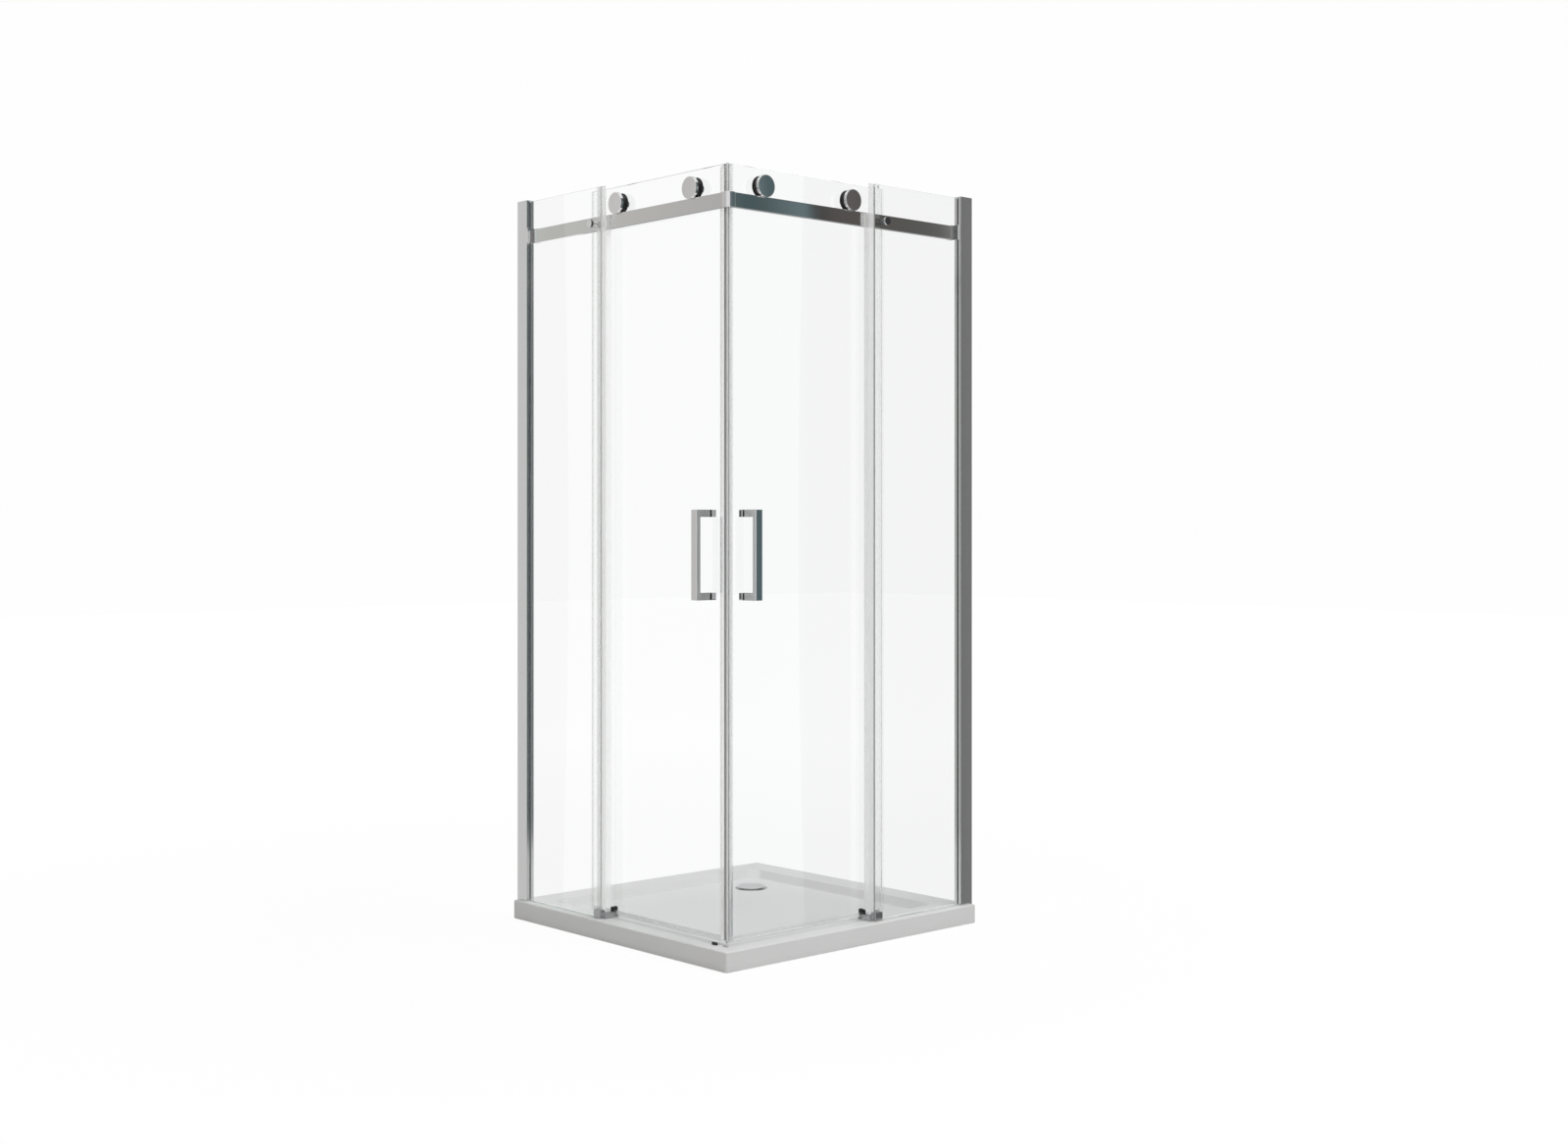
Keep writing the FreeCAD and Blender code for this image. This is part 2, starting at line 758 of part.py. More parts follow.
def guide_bracket():
    """Shoe on the fixed pane's lower corner with an arm under the door."""
    z = (tray_top, tray_top + guide_height)
    shoe_inset = (pane_out - guide_jaw_outer, pane_in + guide_jaw_inner)
    shoe = cut(block((guide_start, guide_end), shoe_inset, z),
               block((guide_start, pane_edge), (pane_out, pane_in), (pane_bottom, z[1])))
    root = block(arm_x, (pane_in, pad_out_end), (tray_top, arm_top))
    foot = block(arm_x, (pad_out_end, pad_in_start + guide_pad_inner),
                 (tray_top, tray_top + guide_foot))
    return fuse(shoe, root, foot)


def guide_pads():
    foot_top = tray_top + guide_foot
    pad_top = foot_top + guide_pad_height
    outer = block(arm_x, (pad_out_end - guide_pad_outer, pad_out_end), (arm_top, pad_top))
    inner = block(arm_x, (pad_in_start, pad_in_start + guide_pad_inner), (foot_top, pad_top))
    return outer, inner


def threshold():
    """Low strip that keeps the water in, cut at 45 degrees in the corner."""
    start = arm_x[1] + threshold_gap
    out = threshold_inset
    into = threshold_inset + threshold_width
    return prism([(start, out), (half - out, out), (half - into, into), (start, into)],
                 (tray_top, tray_top + threshold_height))


def threshold_stop():
    """Small dark rubber stop against the left strip, near the corner."""
    end = half - threshold_inset - stop_from_corner
    return block((end - stop_length, end), (threshold_inset - stop_depth, threshold_inset),
                 (tray_top, tray_top + stop_height))


os.makedirs("parts", exist_ok=True)

save("tray", tray())
save("waste_flange", waste_flange())
save("waste_cover", waste_cover())
save("waste_seals", *waste_seals())
save("waste_cup", waste_cup())
save("rail_corner_connector", corner_connector())
save("threshold_stop", threshold_stop())

save_both("wall_channels", wall_channel())
save_both("profile_caps", profile_cap())
save_both("profile_lock_screws", *lock_screws())
save_both("glazing_gaskets", glazing_gasket())
save_both("sill_seals", sill_seal())
save_both("rail_wall_brackets", *wall_brackets())
save_both("rail_collars", rail_collar())
save_both("rail_fixings", *rail_fixing())
save_both("rail_fixing_gaskets", *fixing_gaskets())
save_both("guide_brackets", guide_bracket())
save_both("guide_pads", *guide_pads())
save_both("thresholds", threshold())

save_pair("wall_profile", wall_profile())
save_pair("fixed_glass", fixed_pane())
save_pair("edge_seal", edge_seal())
save_pair("rail", rail())

save_doors("door_glass", door_pane())
save("magnetic_seal_left", nose_seal())
save("magnetic_seal_right", on_right_door(strip_seal()))
save("seal_magnet_left", magnet_in_nose())
save("seal_magnet_right", on_right_door(magnet_in_strip()))
save_doors("trailing_seal", trailing_seal())
save_doors("bottom_seal", bottom_seal())
save_doors("handle", handle())
save_doors("handle_gaskets", *handle_gaskets())
save_doors("handle_caps", *handle_caps())
save_doors("roller_axles", *[roller_axle(x) for x in roller_places.values()])
save_doors("roller_bushes", *[part for x in roller_places.values() for part in roller_bushes(x)])
for place, x in roller_places.items():
    save_doors("roller_disc_" + place, roller_disc(x))
    save_doors("roller_wheel_" + place, roller_wheel(x))
    save_doors("roller_bearing_" + place, roller_bearing(x))
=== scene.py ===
import math

import bmesh
import bpy
from mathutils import Matrix, Vector


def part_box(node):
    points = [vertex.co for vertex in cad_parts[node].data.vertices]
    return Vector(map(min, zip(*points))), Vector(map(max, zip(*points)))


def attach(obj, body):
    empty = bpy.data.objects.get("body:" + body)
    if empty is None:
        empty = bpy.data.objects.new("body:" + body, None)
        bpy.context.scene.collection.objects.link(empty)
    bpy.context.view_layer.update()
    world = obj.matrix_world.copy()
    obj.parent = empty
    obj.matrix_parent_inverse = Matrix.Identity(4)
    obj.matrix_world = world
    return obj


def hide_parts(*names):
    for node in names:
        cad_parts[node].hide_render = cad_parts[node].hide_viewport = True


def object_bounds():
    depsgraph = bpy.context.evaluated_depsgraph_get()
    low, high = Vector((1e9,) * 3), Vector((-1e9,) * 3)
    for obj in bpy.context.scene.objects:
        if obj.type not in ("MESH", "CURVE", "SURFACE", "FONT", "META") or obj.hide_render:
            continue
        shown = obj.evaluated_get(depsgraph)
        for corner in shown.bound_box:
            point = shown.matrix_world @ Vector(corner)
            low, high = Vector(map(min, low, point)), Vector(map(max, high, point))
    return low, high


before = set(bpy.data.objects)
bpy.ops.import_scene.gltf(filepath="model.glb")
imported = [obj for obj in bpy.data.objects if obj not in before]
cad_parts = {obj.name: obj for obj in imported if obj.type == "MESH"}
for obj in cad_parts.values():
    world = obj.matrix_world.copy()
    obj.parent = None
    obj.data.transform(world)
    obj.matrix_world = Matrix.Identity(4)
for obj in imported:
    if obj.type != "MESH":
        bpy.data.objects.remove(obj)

# Corner shower enclosure, in metres. The left face looks along -Y and the right face along +X.
# Pieces are made on the left face, and the right ones are their mirror images in the upright
# plane through the front and back corners, put where their own nodes are.
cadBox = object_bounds()
scene = bpy.context.scene
mm = 0.001
sides = ("left", "right")

cameraSettings = {
    "place": (3.9623, -3.48425, 1.07025),
    "turn": 47.88,              # degrees from looking along +Y
    "focalPixels": 1958.59,     # in the 1600 x 1167 frame
    "principalPixel": (785.44, 541.4),
    "frame": (1600, 1167),
    "sensor": 36.0,             # mm
}


def addCamera(s):
    data = bpy.data.cameras.new("camera")
    camera = bpy.data.objects.new("camera", data)
    scene.collection.objects.link(camera)
    wide, high = s["frame"]
    data.sensor_width = s["sensor"]
    data.lens = s["focalPixels"] / wide * s["sensor"]
    data.shift_x = (wide / 2 - s["principalPixel"][0]) / wide
    data.shift_y = (s["principalPixel"][1] - high / 2) / wide
    camera.location = s["place"]
    camera.rotation_euler = (math.radians(90), 0, math.radians(s["turn"]))
    scene.camera = camera


addCamera(cameraSettings)
print("camera placed")


def newMaterial(name):
    material = bpy.data.materials.new(name)
    material.use_nodes = True
    material.node_tree.nodes.clear()
    return material, material.node_tree


def addNode(tree, kind, inputs=None, **values):
    node = tree.nodes.new(kind)
    for key, value in values.items():
        setattr(node, key, value)
    for key, value in (inputs or {}).items():
        if isinstance(value, bpy.types.NodeSocket):
            tree.links.new(value, node.inputs[key])
        else:
            node.inputs[key].default_value = value
    return node


def grey(level):
    return (level, level, level, 1)


def finishMaterial(tree, shader):
    addNode(tree, "ShaderNodeOutputMaterial", {"Surface": shader})


def anyOf(tree, *masks):
    found = masks[0]
    for mask in masks[1:]:
        either = addNode(tree, "ShaderNodeMath", {0: found, 1: mask}, operation="MAXIMUM")
        found = either.outputs[0]
    return found


stageSettings = {
    "floorSize": 40.0,
    "floorDrop": 0.0005,
    "floorMatt": 0.06,          # the part of the floor's white that a shadow takes away
    "floorBounce": 0.8,         # the grey that lights the object from below
    "floorGlow": (0.93, 0.985),     # near the object and far from it
    "floorNear": 1.2,
    "floorFar": 4.5,
    "skyLight": 0.40,           # what the world gives to matt surfaces
    "skyShown": 0.99,           # what the camera, metal and glass see
    "cardDistance": 4.4,
    "cardFoot": -3.0,
    "cardTop": 6.0,
}

# Reflection cards, which only metal and glass see: direction in degrees from +X towards +Y, width,
# and the colours across it as (metres from its middle, colour).
reflectionCards = {
    "cardRightFace": (50, 4.4, [
        (-1.60, (0.18, 0.18, 0.18)), (-1.36, (0.19, 0.20, 0.205)),
        (-1.23, (0.072, 0.122, 0.134)), (-1.13, (0.088, 0.122, 0.129)),
        (-0.91, (0.18, 0.245, 0.27)), (-0.875, (0.058, 0.053, 0.053)),
        (-0.78, (0.11, 0.10, 0.097)), (-0.46, (0.125, 0.12, 0.115)),
        (-0.28, (0.14, 0.14, 0.135)), (-0.22, (0.26, 0.26, 0.26)), (1.7, (0.30, 0.30, 0.30))]),
    "cardLeftFace": (219, 3.0, [
        (-1.5, (0.6, 0.6, 0.6)), (-0.2, (0.73, 0.73, 0.73)), (-0.17, (0.65, 0.635, 0.62)),
        (0.70, (0.65, 0.635, 0.62)), (0.76, (0.42, 0.42, 0.42)), (1.5, (0.42, 0.42, 0.42))]),
    "cardFront": (-45, 2.2, [(0, (0.76, 0.76, 0.76))]),
    "cardRightSide": (0, 1.6, [(0, (0.30, 0.30, 0.31))]),
    "cardLeftSide": (-90, 1.6, [(0, (0.35, 0.35, 0.35))]),
    "cardBack": (135, 2.2, [(0, (0.40, 0.40, 0.41))]),
    "cardBackLeft": (184, 2.4, [(0, (0.30, 0.30, 0.30))]),
    "cardBackRight": (92, 1.4, [(0, (0.45, 0.46, 0.47))]),
}

# Soft lights: place, what it looks at, size in metres, power in watts, colour.
softLights = {
    "keyRight": ((3.2, 1.2, 4.2), (0, 0, 0.6), 2.6, 100, (1, 1, 1)),
    "fillFront": ((1.5, -4.6, 2.6), (0, 0, 0.9), 3.0, 9, (1, 0.85, 0.65)),
    "topLight": ((-0.2, 0.2, 4.6), (0, 0, 0), 2.4, 96, (0.985, 0.99, 1)),
}


def shownBackground(tree):
    # 1 on rays that the camera sends, straight or by way of metal or glass
    path = addNode(tree, "ShaderNodeLightPath")
    return anyOf(tree, path.outputs["Is Camera Ray"], path.outputs["Is Glossy Ray"],
                 path.outputs["Is Transmission Ray"])


def addWorld(s):
    world = bpy.data.worlds.new("studio")
    scene.world = world
    world.use_nodes = True
    tree = world.node_tree
    tree.nodes.clear()
    lit = addNode(tree, "ShaderNodeBackground", {"Color": grey(1), "Strength": s["skyLight"]})
    shown = addNode(tree, "ShaderNodeBackground", {"Color": grey(1), "Strength": s["skyShown"]})
    mix = addNode(tree, "ShaderNodeMixShader",
                  {0: shownBackground(tree), 1: lit.outputs[0], 2: shown.outputs[0]})
    addNode(tree, "ShaderNodeOutputWorld", {"Surface": mix.outputs[0]})


def floorMaterial(s):
    # nearly white where it is lit, a little darker in the object's shadow
    material, tree = newMaterial("paleFloor")
    matt = addNode(tree, "ShaderNodeBsdfDiffuse", {"Color": grey(s["floorMatt"])})
    place = addNode(tree, "ShaderNodeTexCoord")
    away = addNode(tree, "ShaderNodeVectorMath", {0: place.outputs["Object"]}, operation="LENGTH")
    white = addNode(tree, "ShaderNodeMapRange", {
        "Value": away.outputs["Value"], "From Min": s["floorNear"], "From Max": s["floorFar"],
        "To Min": s["floorGlow"][0], "To Max": s["floorGlow"][1]})
    glow = addNode(tree, "ShaderNodeEmission", {"Color": grey(1), "Strength": white.outputs[0]})
    both = addNode(tree, "ShaderNodeAddShader", {0: matt.outputs[0], 1: glow.outputs[0]})
    plain = addNode(tree, "ShaderNodeBsdfDiffuse", {"Color": grey(s["floorBounce"])})
    mix = addNode(tree, "ShaderNodeMixShader",
                  {0: shownBackground(tree), 1: plain.outputs[0], 2: both.outputs[0]})
    finishMaterial(tree, mix.outputs[0])
    return material


def stageObject(name, bm, material):
    mesh = bpy.data.meshes.new(name)
    bm.to_mesh(mesh)
    bm.free()
    obj = bpy.data.objects.new(name, mesh)
    scene.collection.objects.link(obj)
    mesh.materials.append(material)
    return obj


def addFloor(s):
    bm = bmesh.new()
    bmesh.ops.create_grid(bm, x_segments=1, y_segments=1, size=s["floorSize"] / 2)
    bmesh.ops.translate(bm, verts=bm.verts, vec=(0, 0, -s["floorDrop"]))
    floor = stageObject("floor", bm, floorMaterial(s))
    floor.visible_glossy = False    # metal sees the cards down to their feet


def cardMaterial(name, along, width, colours):
    material, tree = newMaterial(name)
    place = addNode(tree, "ShaderNodeTexCoord")
    reach = addNode(tree, "ShaderNodeVectorMath", {0: place.outputs["Object"], 1: along},
                    operation="DOT_PRODUCT")
    share = addNode(tree, "ShaderNodeMapRange", {"Value": reach.outputs["Value"],
                                                 "From Min": -width / 2, "From Max": width / 2})
    ramp = addNode(tree, "ShaderNodeValToRGB", {"Fac": share.outputs[0]})
    stops = ramp.color_ramp.elements
    while len(stops) > 1:
        stops.remove(stops[-1])
    for i, (metres, colour) in enumerate(colours):
        stop = stops[0] if i == 0 else stops.new(0.5)
        stop.position = metres / width + 0.5
        stop.color = (*colour, 1)
    glow = addNode(tree, "ShaderNodeEmission", {"Color": ramp.outputs[0]})
    finishMaterial(tree, glow.outputs[0])
    return material


def addCard(name, s, direction, width, colours):
    turn = math.radians(direction)
    along = (-math.sin(turn), math.cos(turn), 0)
    bm = bmesh.new()
    bmesh.ops.create_grid(bm, x_segments=1, y_segments=1, size=0.5)
    high = s["cardTop"] - s["cardFoot"]
    bmesh.ops.scale(bm, verts=bm.verts, vec=(width, high, 1))
    stand = Matrix.Rotation(math.radians(90), 4, "X")
    face = Matrix.Rotation(turn - math.radians(90), 4, "Z")
    out = Matrix.Translation((0, s["cardDistance"], s["cardFoot"] + high / 2))
    bmesh.ops.transform(bm, matrix=face @ out @ stand, verts=bm.verts)
    card = stageObject(name, bm, cardMaterial(name, along, width, colours))
    card.visible_camera = False
    card.visible_diffuse = False
    card.visible_transmission = False
    card.visible_shadow = False


def addLight(name, place, target, size, power, colour):
    data = bpy.data.lights.new(name, "AREA")
    data.size = size
    data.energy = power
    data.color = colour
    light = bpy.data.objects.new(name, data)
    scene.collection.objects.link(light)
    light.location = place
    light.rotation_euler = (Vector(target) - Vector(place)).to_track_quat("-Z", "Y").to_euler()
    light.visible_glossy = False
    light.visible_camera = False


addWorld(stageSettings)
addFloor(stageSettings)
for cardName, (cardTurn, cardWidth, cardColours) in reflectionCards.items():
    addCard(cardName, stageSettings, cardTurn, cardWidth, cardColours)
for lightName, lightValues in softLights.items():
    addLight(lightName, *lightValues)
scene.view_settings.view_transform = "Standard"
print("stage set")


textureSettings = {
    "lineScale": 700.0,         # lines along a drawn bar
    "lineDetail": 2.0,
    "lineHeight": 0.05 * mm,
    "grainScale": 1300.0,       # cast or moulded grain, and the broad mottle of its colour
    "grainDetail": 3.0,
    "grainHeight": 0.1 * mm,
    "mottleScale": 7.0,
    "mottleDetail": 4.0,
    "smudgeDetail": 3.0,        # wiped smudges, with their scale on each kind of finish
    "metalSmudges": 11.0,
    "mouldedSmudges": 6.0,
    "glassSmudges": 5.0,
    "stripSmudges": 8.0,
    "stripCloud": 14.0,
    "softDrift": 0.1,           # of roughness, on plastic and resin
    "cloudDrift": 0.15,         # of a clear strip's cover, as a part of it
    "stripLines": 0.3,
}


def newGroup(name, inputs, outputs):
    tree = bpy.data.node_groups.new(name, "ShaderNodeTree")
    for label, kind in inputs.items():
        tree.interface.new_socket(name=label, in_out="INPUT", socket_type="NodeSocket" + kind)
    for label in outputs:
        tree.interface.new_socket(name=label, in_out="OUTPUT", socket_type="NodeSocketFloat")
    return tree, tree.nodes.new("NodeGroupInput"), tree.nodes.new("NodeGroupOutput")


def smudgeGroup(s):
    # roughness that drifts over the surface, as on wiped metal and glass
    inputs = {"Roughness": "Float", "Drift": "Float", "Scale": "Float"}
    tree, given, out = newGroup("wipedSmudges", inputs, ["Roughness"])
    place = addNode(tree, "ShaderNodeTexCoord")
    noise = addNode(tree, "ShaderNodeTexNoise", {
        "Vector": place.outputs["Object"], "Scale": given.outputs["Scale"],
        "Detail": s["smudgeDetail"]})
    spread = addNode(tree, "ShaderNodeMath", {0: noise.outputs[0], 1: 0.5}, operation="SUBTRACT")
    drift = addNode(tree, "ShaderNodeMath", {
        0: spread.outputs[0], 1: given.outputs["Drift"], 2: given.outputs["Roughness"]},
        operation="MULTIPLY_ADD")
    tree.links.new(drift.outputs[0], out.inputs["Roughness"])
    return tree


def drawnLineGroup(s):
    # fine lines along the way that a bar was drawn
    tree, given, out = newGroup("drawnLines", {"Stretch": "Vector"}, ["Height"])
    place = addNode(tree, "ShaderNodeTexCoord")
    stretched = addNode(tree, "ShaderNodeVectorMath", {
        0: place.outputs["Object"], 1: given.outputs["Stretch"]}, operation="MULTIPLY")
    noise = addNode(tree, "ShaderNodeTexNoise", {
        "Vector": stretched.outputs[0], "Scale": s["lineScale"], "Detail": s["lineDetail"]})
    tree.links.new(noise.outputs[0], out.inputs["Height"])
    return tree


def grainGroup(s):
    # fine cast or moulded grain, and a broad mottle
    tree, _, out = newGroup("castGrain", {}, ["Height", "Mottle"])
    place = addNode(tree, "ShaderNodeTexCoord")
    for label, scale, detail in (("Height", s["grainScale"], s["grainDetail"]),
                                 ("Mottle", s["mottleScale"], s["mottleDetail"])):
        noise = addNode(tree, "ShaderNodeTexNoise", {
            "Vector": place.outputs["Object"], "Scale": scale, "Detail": detail})
        tree.links.new(noise.outputs[0], out.inputs[label])
    return tree


smudges = smudgeGroup(textureSettings)
drawnLines = drawnLineGroup(textureSettings)
castGrain = grainGroup(textureSettings)

# The texture of drawn lines is this much coarser along a bar than across it.
squeeze = 0.004
alongX, alongY, alongZ = (squeeze, 1.0, 1.0), (1.0, squeeze, 1.0), (1.0, 1.0, squeeze)


def placeGroup(tree, group, values):
    node = tree.nodes.new("ShaderNodeGroup")
    node.node_tree = group
    for key, value in values.items():
        node.inputs[key].default_value = value
    return node


def wiped(tree, roughness, drift, kind):
    smudged = placeGroup(tree, smudges, {
        "Roughness": roughness, "Drift": drift, "Scale": textureSettings[kind]})
    return smudged.outputs[0]


def drawn(tree, stretch, strength):
    lines = placeGroup(tree, drawnLines, {"Stretch": stretch})
    bump = addNode(tree, "ShaderNodeBump", {
        "Strength": strength, "Distance": textureSettings["lineHeight"],
        "Height": lines.outputs[0]})
    return bump.outputs[0]


def brightMetal(name, colour, roughness, drift, stretch=None, lineDepth=0.0):
    material, tree = newMaterial(name)
    inputs = {"Base Color": (*colour, 1), "Metallic": 1.0,
              "Roughness": wiped(tree, roughness, drift, "metalSmudges")}
    if stretch:
        inputs["Normal"] = drawn(tree, stretch, lineDepth)
    finishMaterial(tree, addNode(tree, "ShaderNodeBsdfPrincipled", inputs).outputs[0])
    return material


def moulded(name, colour, roughness, grain, mottle, glow=0.0):
    # cast or moulded surface: fine grain and a faint drift of its colour
    material, tree = newMaterial(name)
    texture = placeGroup(tree, castGrain, {})
    dark = [channel * (1 - mottle) for channel in colour]
    shade = addNode(tree, "ShaderNodeMix", {
        "Factor": texture.outputs["Mottle"], 6: (*dark, 1), 7: (*colour, 1)}, data_type="RGBA")
    bump = addNode(tree, "ShaderNodeBump", {
        "Strength": grain, "Distance": textureSettings["grainHeight"],
        "Height": texture.outputs["Height"]})
    shader = addNode(tree, "ShaderNodeBsdfPrincipled", {
        "Base Color": shade.outputs[2], "Normal": bump.outputs[0],
        "Roughness": wiped(tree, roughness, textureSettings["softDrift"], "mouldedSmudges"),
        "Emission Color": grey(1), "Emission Strength": glow})
    finishMaterial(tree, shader.outputs[0])
    return material


def clearGlass(name, colour, roughness, shadowColour):
    # what metal reflects, and light, go straight through it. A ray that the glass itself bends
    # counts as glossy and as transmitted, so it isn't one of those.
    material, tree = newMaterial(name)
    clear = addNode(tree, "ShaderNodeBsdfPrincipled", {
        "Base Color": (*colour, 1), "IOR": 1.5, "Transmission Weight": 1.0,
        "Roughness": wiped(tree, roughness, roughness, "glassSmudges")})
    through = addNode(tree, "ShaderNodeBsdfTransparent", {"Color": (*shadowColour, 1)})
    path = addNode(tree, "ShaderNodeLightPath")
    mirrored = addNode(tree, "ShaderNodeMath", {
        0: path.outputs["Is Glossy Ray"], 1: path.outputs["Is Transmission Ray"]},
        operation="SUBTRACT", use_clamp=True)
    straight = anyOf(tree, path.outputs["Is Shadow Ray"], path.outputs["Is Diffuse Ray"],
                     mirrored.outputs[0])
    mix = addNode(tree, "ShaderNodeMixShader",
                  {0: straight, 1: clear.outputs[0], 2: through.outputs[0]})
    finishMaterial(tree, mix.outputs[0])
    return material


def clearStrip(name, colour, roughness, cover, glow=0.0):
    # soft clear plastic: each wall covers a little of what is behind. Its glow is painted light,
    # standing in for light that comes through it
    material, tree = newMaterial(name)
    shader = addNode(tree, "ShaderNodeBsdfPrincipled", {
        "Base Color": (*colour, 1),
        "Roughness": wiped(tree, roughness, textureSettings["softDrift"], "stripSmudges"),
        "Alpha": wiped(tree, cover, cover * textureSettings["cloudDrift"], "stripCloud"),
        "Emission Color": grey(1), "Emission Strength": glow,
        "Normal": drawn(tree, alongZ, textureSettings["stripLines"])})
    finishMaterial(tree, shader.outputs[0])
    return material


# After its name and colour each finish has its roughness. Then come
# for metal, how far the roughness drifts, the way of its drawn lines and their depth,
# for what is moulded, the depth of its grain, its mottle and its glow,
# for glass, the colour of its shadow, and for clear strips, what they cover and their glow.
# Each glow is painted light, on parts that are no lamps.
railColour = (0.76, 0.755, 0.745)
finishes = {
    "resin": moulded("castResin", (0.708, 0.708, 0.706), 0.42, 0.12, 0.02),
    # the slope's resin is the same resin made darker: painted shade
    "slopeShadeResin": moulded("slopeShadeResin", (0.655, 0.655, 0.653), 0.42, 0.12, 0.02),
    "glass": clearGlass("clearGlass", (0.995, 1.0, 0.998), 0.004, (0.945, 0.955, 0.95)),
    # the fixed panes' edge towards the corner, in a darker glass: painted shade
    "shadedGlassEdge": clearGlass("shadedUprightEdge", (0.44, 0.51, 0.485), 0.10, (0.7, 0.8, 0.77)),
    "paleEdge": clearGlass("paleEdge", (0.93, 0.97, 0.96), 0.08, (0.8, 0.9, 0.87)),
    # the doors' edges towards the corner: painted shade on the left door, painted light that glows
    # on the right
    "darkEdge": moulded("paintedShadeDoorEdge", (0.23, 0.265, 0.25), 0.35, 0.1, 0.03),
    "paintedGlowDoorEdge": moulded("paintedGlowDoorEdge", (0.90, 0.91, 0.905), 0.45, 0.1, 0.02, 0.14),
    "strip": clearStrip("clearStrip", (0.80, 0.80, 0.81), 0.28, 0.13),
    "faintStrip": clearStrip("faintStrip", (0.85, 0.85, 0.86), 0.28, 0.05),
    # the right magnetic seal's greyer strip is painted shade
    "paintedShadeStrip": clearStrip("paintedShadeStrip", (0.66, 0.66, 0.67), 0.28, 0.17),
    "thinLip": clearStrip("thinLip", (0.80, 0.80, 0.81), 0.28, 0.02),
    # copies of one clear seal plastic: the milky, glowing ones are painted light, the grey flap
    # painted shade
    "paintedLightGrip": clearStrip("paintedLightGrip", (0.93, 0.93, 0.935), 0.3, 0.20, 0.06),
    "paintedLightFlap": clearStrip("paintedLightFlap", (0.95, 0.95, 0.95), 0.3, 0.56, 0.13),
    "paintedShadeFlap": clearStrip("paintedShadeFlap", (0.755, 0.755, 0.76), 0.3, 0.56, 0.06),
    "paintedLightLip": clearStrip("paintedLightLip", (0.95, 0.95, 0.95), 0.3, 0.37, 0.55),
    "chrome": brightMetal("polishedChrome", (0.87, 0.87, 0.875), 0.07, 0.05),
    "satinChrome": brightMetal("satinChrome", (0.93, 0.93, 0.935), 0.50, 0.08),
    # handle sides towards the corner: a darker, rougher chrome as painted shade
    "cornerShadeChrome": brightMetal("cornerShadeChrome", (0.74, 0.74, 0.745), 0.50, 0.08),
    "greyChrome": brightMetal("greyChrome", (0.52, 0.52, 0.53), 0.28, 0.1),
    # handle arms: the same chrome made darker, a painted shade
    "armShadeChrome": brightMetal("armShadeChrome", (0.42, 0.42, 0.425), 0.16, 0.08),
    # rail fixings' dark faces: the same chrome made darker, a painted shade
    "paintedShadeChrome": brightMetal("paintedShadeChrome", (0.20, 0.20, 0.205), 0.25, 0.1),
    "profile": brightMetal("brightProfile", (0.77, 0.775, 0.78), 0.16, 0.08, alongZ, 0.3),
    "railLeft": brightMetal("railSteelLeft", railColour, 0.06, 0.06, alongX, 0.3),
    "railRight": brightMetal("railSteelRight", railColour, 0.06, 0.06, alongY, 0.3),
    "channel": brightMetal("millChannel", (0.62, 0.63, 0.64), 0.34, 0.1, alongZ, 0.5),
    "screw": brightMetal("plainSteel", (0.55, 0.55, 0.56), 0.25, 0.1),
    "rubber": moulded("blackRubber", (0.022, 0.022, 0.023), 0.55, 0.3, 0.2),
    "nylon": moulded("blackNylon", (0.010, 0.010, 0.011), 0.42, 0.25, 0.2),
    "magnet": moulded("magnetStrip", (0.92, 0.92, 0.92), 0.5, 0.2, 0.1),
    "whitePlastic": moulded("whitePlastic", (0.74, 0.74, 0.735), 0.4, 0.15, 0.03),
}
print("finishes made:", len(finishes))


shapeSettings = {
    "merge": 0.001 * mm,        # points nearer than this become one
    "flatAngle": 0.5,           # faces that meet at less, in degrees, become one
    "roundOver": 30,            # edges between faces that meet at more are rounded
    "roundSteps": 3,
    "smoothAngle": 40,
    "turnedSteps": 96,
}
acrossDiagonal = Matrix(((0, -1, 0, 0), (-1, 0, 0, 0), (0, 0, 1, 0), (0, 0, 0, 1)))


def settle(name, bm, body, finish, nodes, smoothAngle=shapeSettings["smoothAngle"]):
    # makes the finished piece from a bmesh and puts it on its body, for the nodes that it shows
    mesh = bpy.data.meshes.new(name)
    bm.to_mesh(mesh)
    bm.free()
    mesh.materials.append(finishes[finish])
    mesh.shade_smooth()
    mesh.set_sharp_from_angle(angle=math.radians(smoothAngle))
    obj = bpy.data.objects.new(name, mesh)
    scene.collection.objects.link(obj)
    flats = obj.modifiers.new("evenFlats", "WEIGHTED_NORMAL")
    flats.keep_sharp = True
    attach(obj, body)
    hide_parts(*nodes)
    return obj


def toSide(bm, side):
    # leaves a left piece where it is, or mirrors it onto the right face
    if side == "right":
        bmesh.ops.transform(bm, matrix=acrossDiagonal, verts=bm.verts)
        bmesh.ops.reverse_faces(bm, faces=bm.faces)
    return bm


def roundEdges(bm, width, segments=shapeSettings["roundSteps"], chosen=None):
    over = math.radians(shapeSettings["roundOver"])
    edges = [edge for edge in bm.edges if len(edge.link_faces) == 2
             and edge.calc_face_angle(0) > over and (chosen is None or chosen(edge))]
    bmesh.ops.bevel(bm, geom=edges, offset=width, offset_type="OFFSET", segments=segments,
                    profile=0.5, affect="EDGES", clamp_overlap=True, material=-1)
    return bm


def roundedBar(low, high, width):
    bm = bmesh.new()
    bmesh.ops.create_cube(bm, size=1)
    bmesh.ops.scale(bm, verts=bm.verts, vec=high - low)
    bmesh.ops.translate(bm, verts=bm.verts, vec=(low + high) / 2)
    return roundEdges(bm, width)


def mergedCopy(node):
    bm = bmesh.new()
    bm.from_mesh(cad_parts[node].data)
    bmesh.ops.remove_doubles(bm, verts=bm.verts, dist=shapeSettings["merge"])
    bmesh.ops.dissolve_limit(bm, angle_limit=math.radians(shapeSettings["flatAngle"]),
                             verts=bm.verts, edges=bm.edges)
    return bm


def softenedCopy(node, width):
    return roundEdges(mergedCopy(node), width)


